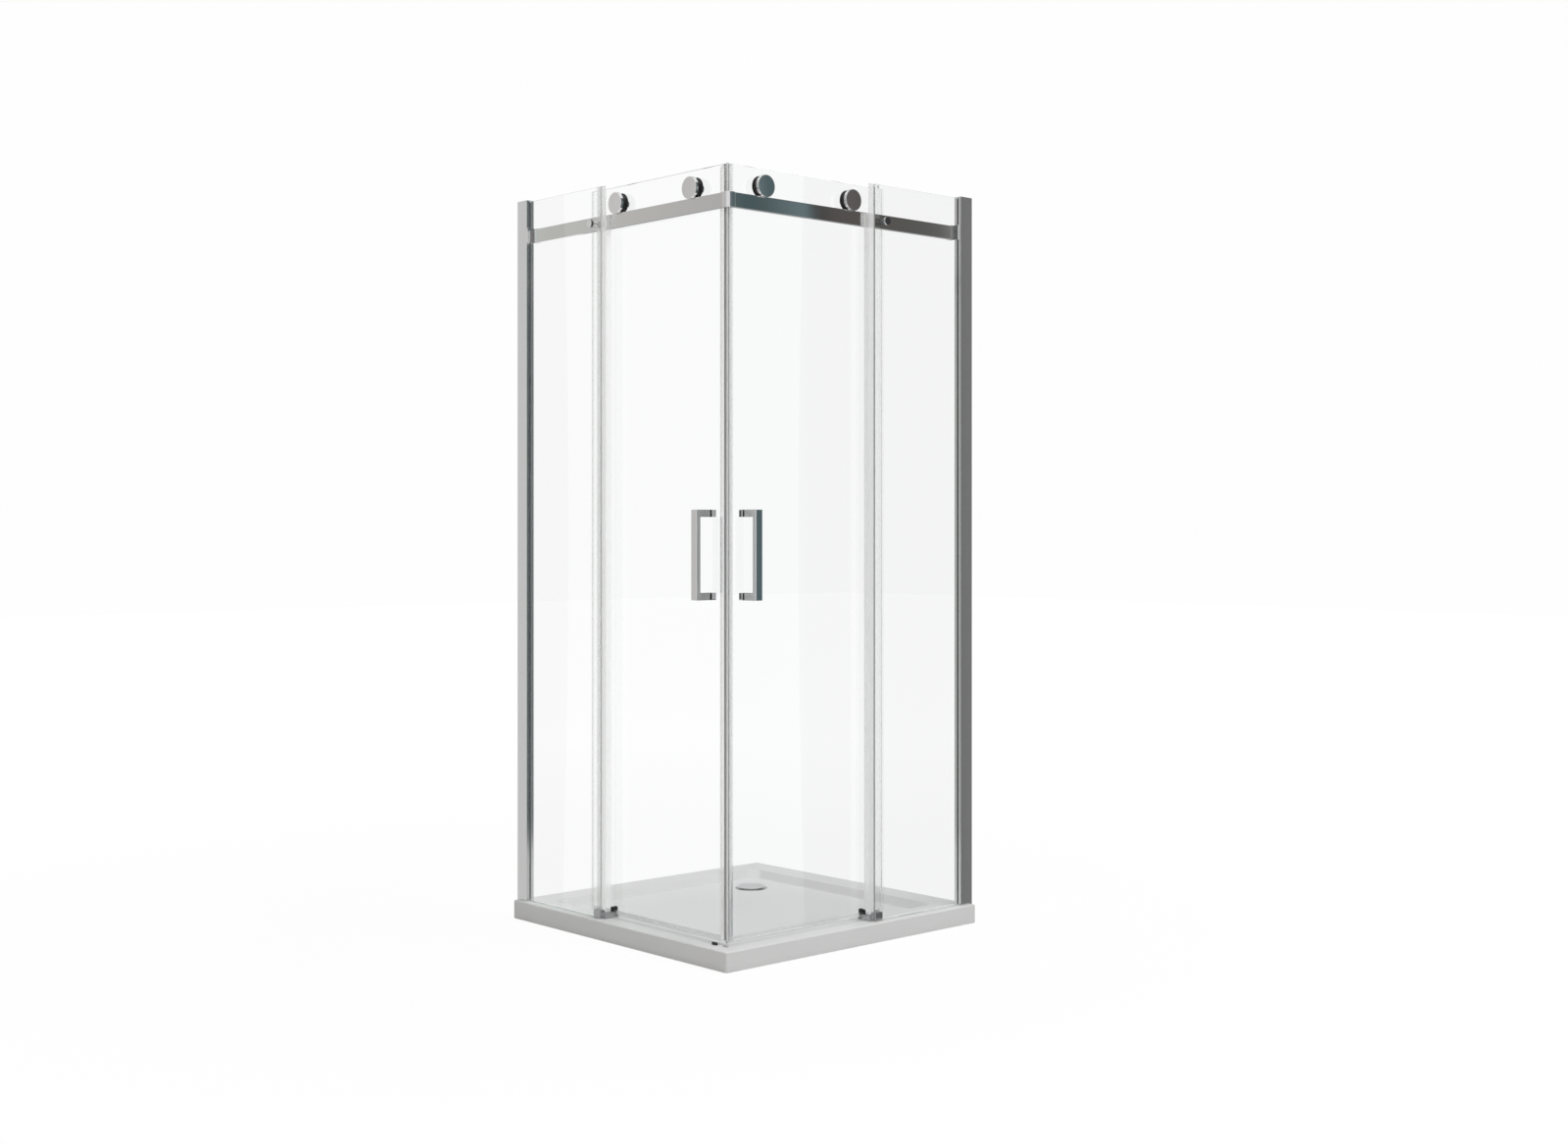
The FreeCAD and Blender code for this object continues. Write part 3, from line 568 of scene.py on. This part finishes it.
def turned(outline, centre, axis):
    # a piece turned about a line along Y or Z: outline is a list of (radius, place along it)
    bm = bmesh.new()
    across = Vector((1, 0, 0))
    verts = [bm.verts.new(Vector(centre) + across * radius + Vector(axis) * place)
             for radius, place in outline]
    edges = [bm.edges.new(pair) for pair in zip(verts, verts[1:])]
    bmesh.ops.spin(bm, geom=verts + edges, cent=centre, axis=axis, angle=math.tau,
                   steps=shapeSettings["turnedSteps"], use_merge=True, use_duplicate=False)
    bmesh.ops.remove_doubles(bm, verts=bm.verts, dist=shapeSettings["merge"])
    bmesh.ops.recalc_face_normals(bm, faces=bm.faces)
    return bm


def arc(radius, start, stop, steps):
    angles = [math.radians(start + (stop - start) * i / steps) for i in range(steps + 1)]
    return [(radius * math.cos(angle), radius * math.sin(angle)) for angle in angles]


def middleOf(node):
    low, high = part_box(node)
    return (low + high) / 2


def faceBox(node, side):
    # a node's box where its mirror image would be on the left face
    low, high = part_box(node + "_" + side)
    if side == "left":
        return low, high
    return Vector((-high.y, -high.x, low.z)), Vector((-low.y, -low.x, high.z))


traySettings = {
    "edgeRadius": 4 * mm,       # along the top edge
    "cornerRadius": 5 * mm,     # of the outline
    "footRadius": 0.8 * mm,
    "ledge": 82 * mm,
    "slope": 24 * mm,
    "depth": 20 * mm,
    "basinCorner": 34 * mm,
    "rimRadius": 6 * mm,        # where the ledge turns down
    "floorRadius": 10 * mm,     # where the slope meets the floor
    "dishRadius": 94 * mm,
    "dishDepth": 3 * mm,
    "seat": (47.3 * mm, 3 * mm),        # radius and depth, under the waste flange
    "throat": 37.5 * mm,
    "cupRoom": (52.5 * mm, 16 * mm),    # radius and height of the hollow round the waste cup
    "sloping": 0.5,             # normals between these get the slope's painted shade, a darker copy of the resin
    "level": 0.97,
    "cornerSteps": 10,
    "roundSteps": 5,
    "dishSteps": 96,
    "smoothAngle": 35,
}


def squareRing(half, radius, z, steps):
    # points round a square with round corners
    points = []
    for quarter in range(4):
        turn = Matrix.Rotation(math.radians(90 * quarter), 3, "Z")
        middle = Vector((half - radius, half - radius, z))
        points += [turn @ (middle + Vector((*reach, 0))) for reach in arc(radius, 0, 90, steps)]
    return points


def roundRing(centre, radius, z, count):
    return [Vector((centre.x + x, centre.y + y, z)) for x, y in arc(radius, 0, 360, count)[:-1]]


def pullThrough(bm, rings):
    # a loop of edges drawn on through rings of as many points, and its first and last loops
    verts = [bm.verts.new(point) for point in rings[0]]
    loops = [[bm.edges.new(pair) for pair in zip(verts, verts[1:] + verts[:1])]]
    for ring in rings[1:]:
        made = set(bmesh.ops.extrude_edge_only(bm, edges=loops[-1])["geom"])
        verts = [next(edge.other_vert(vert) for edge in vert.link_edges
                      if edge.other_vert(vert) in made) for vert in verts]
        for vert, point in zip(verts, ring):
            vert.co = point
        loops.append([bm.edges.get(pair) for pair in zip(verts, verts[1:] + verts[:1])])
    return loops[0], loops[-1]


def makeTray(s):
    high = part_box("tray")[1]
    half, top = high.x, high.z
    waste = middleOf("waste_flange")
    steps, soft, foot = s["cornerSteps"], s["roundSteps"], s["footRadius"]

    def ring(inset, z, radius):
        return squareRing(half - inset, radius, z, steps)

    outside = [ring(foot, 0, s["cornerRadius"]), ring(0, foot, s["cornerRadius"])]
    for out, up in arc(s["edgeRadius"], 0, 90, soft):
        inset = s["edgeRadius"] - out
        outside.append(ring(inset, top - s["edgeRadius"] + up, s["cornerRadius"]))

    # the slope, with a soft turn into it from the ledge and out of it to the floor
    tilt = math.atan2(s["depth"], s["slope"])
    turns = ((s["rimRadius"], s["ledge"], top, 1),
             (s["floorRadius"], s["ledge"] + s["slope"], top - s["depth"], -1))
    for radius, inset, z, way in turns:
        reach = radius * math.tan(tilt / 2)
        angles = [tilt * i / soft for i in range(soft + 1)]
        for angle in angles if way > 0 else reversed(angles):
            along = way * (radius * math.sin(angle) - reach)
            drop = way * radius * (1 - math.cos(angle))
            outside.append(ring(inset + along, z - drop, s["basinCorner"]))

    floorZ = top - s["depth"]
    dishZ = floorZ - s["dishDepth"]
    seatZ = dishZ - s["seat"][1]
    roomRadius, roomZ = s["cupRoom"]
    inside = [roundRing(waste, radius, z, s["dishSteps"]) for radius, z in (
        (s["dishRadius"], floorZ), (s["seat"][0], dishZ), (s["seat"][0], seatZ),
        (s["throat"], seatZ), (s["throat"], roomZ), (roomRadius, roomZ), (roomRadius, 0))]

    bm = bmesh.new()
    underside, floor = pullThrough(bm, outside)
    dish, opening = pullThrough(bm, inside)
    for first, second in ((floor, dish), (underside, opening)):
        bmesh.ops.triangle_fill(bm, edges=first + second, use_beauty=True, use_dissolve=False)
    bmesh.ops.recalc_face_normals(bm, faces=bm.faces)
    # the slope's faces take the darker resin, a painted shade
    for face in bm.faces:
        middle = face.calc_center_median()
        within = half - max(abs(middle.x), abs(middle.y)) > s["ledge"]
        face.material_index = int(within and s["sloping"] < face.normal.z < s["level"])
    tray = settle("shower_tray", bm, "frame", "resin", ["tray"], s["smoothAngle"])
    tray.data.materials.append(finishes["slopeShadeResin"])


makeTray(traySettings)
print("tray made")


wasteSettings = {
    "coverRadius": 42 * mm,
    "plate": 3 * mm,
    "domeRise": 0.9 * mm,
    "domeRings": (0.9, 0.75, 0.6, 0.45, 0.3, 0.15, 0),     # parts of the cover's radius
    "edgeRound": 1.2 * mm,
    "edgeTurn": 80,             # degrees up to the dome
    "edgeSteps": 6,
    "stem": 4 * mm,
    "ringRound": 0.5 * mm,
}


def makeWaste(s):
    low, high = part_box("waste_cover")
    centre = ((low.x + high.x) / 2, (low.y + high.y) / 2, 0)
    radius, soft = s["coverRadius"], s["edgeRound"]
    top = high.z
    under = top - s["plate"]
    shoulder = top - s["domeRise"]
    outline = [(0, low.z), (s["stem"], low.z), (s["stem"], under), (radius - soft, under)]
    outline += [(radius - soft + out, shoulder - soft + up)
                for out, up in arc(soft, 0, s["edgeTurn"], s["edgeSteps"])]
    outline += [(radius * part, shoulder + s["domeRise"] * (1 - part ** 2))
                for part in s["domeRings"]]
    cover = turned(outline, centre, (0, 0, 1))
    settle("waste_cover_dome", cover, "frame", "satinChrome", ["waste_cover"])
    for node, finish in (("waste_flange", "chrome"), ("waste_cup", "whitePlastic"),
                         ("waste_seals", "rubber")):
        settle(node + "_soft", softenedCopy(node, s["ringRound"]), "frame", finish, [node])


makeWaste(wasteSettings)
print("waste made")


paneSettings = {
    "chamfer": 0.9 * mm,
    "flat": 0.95,               # normals over this belong to the two clear faces
    "facing": 0.5,              # and these to the edge towards the front corner
    "sameFace": 0.01 * mm,
    "atEdge": 0.1 * mm,
    "smoothAngle": 20,
}
frontCorner = Vector((1, -1, 0))


def makePane(name, node, body, cornerEdge, s):
    # its faces are clear and its edges pale, but for the one towards the front corner: painted
    # shade there, or on the right door a painted light that glows
    low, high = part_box(node)
    bm = mergedCopy(node)
    across = 1 if high.y - low.y < high.x - low.x else 0
    along = 1 - across

    def outerEdge(edge):
        ends = [vert.co for vert in edge.verts]
        inFace = abs(ends[0][across] - ends[1][across]) < s["sameFace"]
        return inFace and any(all(abs(point[axis] - limit[axis]) < s["atEdge"] for point in ends)
                              for axis in (along, 2) for limit in (low, high))

    roundEdges(bm, s["chamfer"], 1, chosen=outerEdge)
    for face in bm.faces:
        if abs(face.normal[across]) < s["flat"]:
            face.material_index = 1 if face.normal.dot(frontCorner) > s["facing"] else 2
    pane = settle(name, bm, body, "glass", [node], s["smoothAngle"])
    pane.data.materials.append(finishes[cornerEdge])
    pane.data.materials.append(finishes["paleEdge"])


# the left door's corner edge is painted shade, the right door's painted light that glows
for side, doorEdge in (("left", "darkEdge"), ("right", "paintedGlowDoorEdge")):
    makePane("fixed_pane_" + side, "fixed_glass_" + side, "frame", "shadedGlassEdge", paneSettings)
    makePane("door_pane_" + side, "door_glass_" + side, "door_" + side, doorEdge, paneSettings)
print("panes made")


# Small pieces of the frame that keep their shape and get soft edges: rounding and finish.
framePieces = {
    "wall_profile_left": (0.45 * mm, "profile"),
    "wall_profile_right": (0.45 * mm, "profile"),
    "wall_channels": (0.2 * mm, "channel"),
    "profile_caps": (0.4 * mm, "profile"),
    "profile_lock_screws": (0.3 * mm, "screw"),
    "glazing_gaskets": (0.2 * mm, "rubber"),
    "sill_seals": (0.4 * mm, "strip"),
    "rail_collars": (0.3 * mm, "chrome"),
    "rail_corner_connector": (1.2 * mm, "chrome"),
    "rail_fixing_gaskets": (0.2 * mm, "rubber"),
    "guide_brackets": (0.9 * mm, "greyChrome"),
    "guide_pads": (0.6 * mm, "nylon"),
    "thresholds": (0.8 * mm, "faintStrip"),
    "threshold_stop": (0.9 * mm, "rubber"),
}
notMirrored = ("wall_profile_left", "wall_profile_right", "wall_channels", "profile_caps",
               "glazing_gaskets", "rail_collars")
for pieceNode, (rounding, pieceFinish) in framePieces.items():
    piece = settle(pieceNode + "_soft", softenedCopy(pieceNode, rounding), "frame", pieceFinish,
                   [pieceNode])
    piece.visible_glossy = pieceNode not in notMirrored    # the rails don't show them
print("profiles and small frame parts made")


def onFace(point, side):
    # how far a point is along its face from the middle towards the front corner, and inwards
    along, out = (point.x, -point.y) if side == "left" else (-point.y, point.x)
    return along, cadBox[1].x - out


edgeSealSettings = {
    "rounding": 0.3 * mm,
    "lipFrom": 34 * mm,         # inset where the thin lip towards the door starts
    "lipEndFrom": 43 * mm,      # inset where the lip's own end starts
    "flapFrom": 2 * mm,         # beyond the pane's edge
    "flat": 0.9,                # normals over this belong to the grip's walls
}
# what the lip's root, the flap, the grip's walls and the lip's end are made of, in that order.
# The two seals are alike: the milky, glowing shades are painted light, the grey flap painted
# shade.
sealShades = {
    "left": ("thinLip", "paintedLightFlap", "paintedLightGrip", "thinLip"),
    "right": ("paintedLightLip", "paintedShadeFlap", "thinLip", "thinLip"),
}


def makeEdgeSeal(side, s):
    # the grip holds the pane, and the lip reaches in towards the door. A cut through the lip lets
    # its end have a shade of its own.
    bm = softenedCopy("edge_seal_" + side, s["rounding"])
    inwardAxis = Vector((0, 1, 0) if side == "left" else (-1, 0, 0))
    outerFace = cadBox[0] if side == "left" else cadBox[1]
    bmesh.ops.bisect_plane(bm, geom=bm.verts[:] + bm.edges[:] + bm.faces[:],
                           dist=shapeSettings["merge"], plane_no=inwardAxis,
                           plane_co=outerFace + inwardAxis * s["lipEndFrom"])
    paneEdge = faceBox("fixed_glass", side)[1].x
    for face in bm.faces:
        along, inset = onFace(face.calc_center_median(), side)
        if inset > s["lipEndFrom"]:
            face.material_index = 4
        elif inset > s["lipFrom"]:
            face.material_index = 1
        elif along > paneEdge + s["flapFrom"]:
            face.material_index = 2
        elif abs(face.normal.dot(inwardAxis)) > s["flat"]:
            face.material_index = 3
    seal = settle("edge_seal_%s_soft" % side, bm, "frame", "paintedLightGrip", ["edge_seal_" + side])
    for shade in sealShades[side]:
        seal.data.materials.append(finishes[shade])


for side in sides:
    makeEdgeSeal(side, edgeSealSettings)
print("edge seals made")


fixingSettings = {
    "rounding": 0.4 * mm,
    "paneInset": 26 * mm,       # what lies further in is behind the pane
    "facing": 0.4,              # normals over this look towards the right
}


def makeRailFixings(node, s):
    # bright in front of the pane but for the sides towards the right. Behind the pane the sleeves
    # are dark on the other sides, and the brackets all over. The dark chrome is painted shade.
    bm = softenedCopy(node, s["rounding"])
    for face in bm.faces:
        middle = face.calc_center_median()
        side = "left" if middle.x < -middle.y else "right"
        behind = onFace(middle, side)[1] > s["paneInset"]
        towardsRight = face.normal.x > s["facing"] and node == "rail_fixings"
        face.material_index = int(towardsRight != behind)
    fixings = settle(node + "_soft", bm, "frame", "chrome", [node])
    fixings.data.materials.append(finishes["paintedShadeChrome"])
    fixings.visible_glossy = False


makeRailFixings("rail_fixings", fixingSettings)
makeRailFixings("rail_wall_brackets", fixingSettings)
print("rail fixings made")


# The same on each door, where the node's name ends in the side.
leadSealSettings = {"rounding": 0.3 * mm, "left": "faintStrip", "right": "paintedShadeStrip"}
doorPieces = {
    "trailing_seal": (0.3 * mm, "faintStrip"),
    "bottom_seal": (0.25 * mm, "strip"),
    "seal_magnet": (0.25 * mm, "magnet"),
    "handle_gaskets": (0.3 * mm, "rubber"),
    "handle_caps": (0.3 * mm, "chrome"),
    "roller_axles": (0.3 * mm, "chrome"),
    "roller_bushes": (0.3 * mm, "nylon"),
}
for side in sides:
    # the two magnetic seals are alike; the right one's greyer strip is painted shade
    node = "magnetic_seal_" + side
    settle(node + "_soft", softenedCopy(node, leadSealSettings["rounding"]), "door_" + side,
           leadSealSettings[side], [node])
    for pieceNode, (rounding, pieceFinish) in doorPieces.items():
        node = pieceNode + "_" + side
        settle(node + "_soft", softenedCopy(node, rounding), "door_" + side, pieceFinish, [node])
print("door seals and fixings made")


railSettings = {"edge": 1.1 * mm}
for side, railFinish in (("left", "railLeft"), ("right", "railRight")):
    railLow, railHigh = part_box("rail_" + side)
    settle("rail_bar_" + side, roundedBar(railLow, railHigh, railSettings["edge"]), "frame",
           railFinish, ["rail_" + side])
print("rails made")


handleSettings = {
    "barDepth": 13 * mm,
    "armHeight": 18 * mm,
    "edge": 0.9 * mm,
    "edgeSteps": 4,
    "facing": 0.9,              # sides towards the front corner get a darker, rougher chrome: painted shade
}


def makeHandle(side, s):
    low, high = faceBox("handle", side)
    depth, arm = s["barDepth"], s["armHeight"]
    back = low.y + depth
    outline = [(low.y, low.z), (high.y, low.z), (high.y, low.z + arm), (back, low.z + arm),
               (back, high.z - arm), (high.y, high.z - arm), (high.y, high.z), (low.y, high.z)]
    bm = bmesh.new()
    face = bm.faces.new([bm.verts.new((low.x, y, z)) for y, z in outline])
    grown = bmesh.ops.extrude_face_region(bm, geom=[face])
    tips = [item for item in grown["geom"] if isinstance(item, bmesh.types.BMVert)]
    bmesh.ops.translate(bm, verts=tips, vec=(high.x - low.x, 0, 0))
    bmesh.ops.recalc_face_normals(bm, faces=bm.faces)
    roundEdges(bm, s["edge"], s["edgeSteps"])
    # the arms take a darker chrome, and the sides towards the front corner a duller one: painted
    # shade
    for face in bm.faces:
        face.material_index = (2 if face.normal.x > s["facing"]
                               else int(face.calc_center_median().y > back))
    handle = settle("pull_handle_" + side, toSide(bm, side), "door_" + side, "chrome",
                    ["handle_" + side])
    handle.data.materials.append(finishes["armShadeChrome"])
    handle.data.materials.append(finishes["cornerShadeChrome"])


for side in sides:
    makeHandle(side, handleSettings)
print("handles made")


rollerSettings = {
    "discRadius": 28 * mm,
    "discChamfer": 1.0 * mm,
    "chamferTurn": 80,          # degrees
    "chamferSteps": 5,
    "chamferStart": 1.6,        # its width on the disc's face, in chamfers
    "faceDish": 0.25 * mm,
    "dishHalfway": 0.72,        # the part of the radius where the dish is half as deep
    "backChamfer": 0.8 * mm,
    "tread": 25 * mm,
    "flangeRadius": 27.5 * mm,
    "flange": 2.5 * mm,
    "treadGroove": 0.9 * mm,
    "grooveHalf": 1.2 * mm,
    "soft": 0.6 * mm,
    "bearing": 11 * mm,
    "bearingEnd": 8.5 * mm,
    "eye": 8 * mm,
    "webRecess": 1.2 * mm,
    "webFrom": 5 * mm,          # from the rim and from the eye
    "webDeep": 6 * mm,
    "raceRound": 0.3 * mm,
    "smoothAngle": 30,
}


def makeRoller(place, side, s):
    end = place + "_" + side
    body = "roller_" + end
    discLow = faceBox("roller_disc_" + place, side)[0]
    wheelLow, wheelHigh = faceBox("roller_wheel_" + place, side)
    centre = ((wheelLow.x + wheelHigh.x) / 2, 0, (wheelLow.z + wheelHigh.z) / 2)
    radius, chamfer, front, back = s["discRadius"], s["discChamfer"], discLow.y, wheelLow.y
    outline = [(0, front + s["faceDish"]), (radius * s["dishHalfway"], front + s["faceDish"] / 2),
               (radius - chamfer * s["chamferStart"], front)]
    outline += [(radius - chamfer + out, front + chamfer + up)
                for out, up in arc(chamfer, -s["chamferTurn"], 0, s["chamferSteps"])]
    outline += [(radius, back - s["backChamfer"]), (radius - s["backChamfer"], back), (0, back)]
    settle("roller_cap_" + end, toSide(turned(outline, centre, (0, 1, 0)), side), body, "chrome",
           ["roller_disc_" + end], s["smoothAngle"])

    tread, rim, eye, soft, inner = s["tread"], s["flangeRadius"], s["eye"], s["soft"], wheelHigh.y
    flangeStart = inner - s["flange"]
    middle = (back + flangeStart) / 2
    groove, wide = tread - s["treadGroove"], s["grooveHalf"]
    seat = back + s["bearingEnd"]
    webIn = inner - s["webRecess"]
    outline = [(s["bearing"], back), (tread - soft, back), (tread, back + soft),
               (tread, middle - wide - soft), (groove, middle - wide), (groove, middle + wide),
               (tread, middle + wide + soft), (tread, flangeStart - soft),
               (tread + soft, flangeStart), (rim - soft, flangeStart), (rim, flangeStart + soft),
               (rim, inner - soft), (rim - soft, inner), (rim - s["webFrom"], inner),
               (rim - s["webDeep"], webIn), (eye + s["webDeep"], webIn),
               (eye + s["webFrom"], inner), (eye, inner), (eye, seat), (s["bearing"], seat),
               (s["bearing"], back)]
    settle("roller_tyre_" + end, toSide(turned(outline, centre, (0, 1, 0)), side), body, "nylon",
           ["roller_wheel_" + end], s["smoothAngle"])
    race = "roller_bearing_" + end
    settle(race + "_soft", softenedCopy(race, s["raceRound"]), body, "screw", [race])


for side in sides:
    for place in ("front", "rear"):
        makeRoller(place, side, rollerSettings)
print("rollers made")
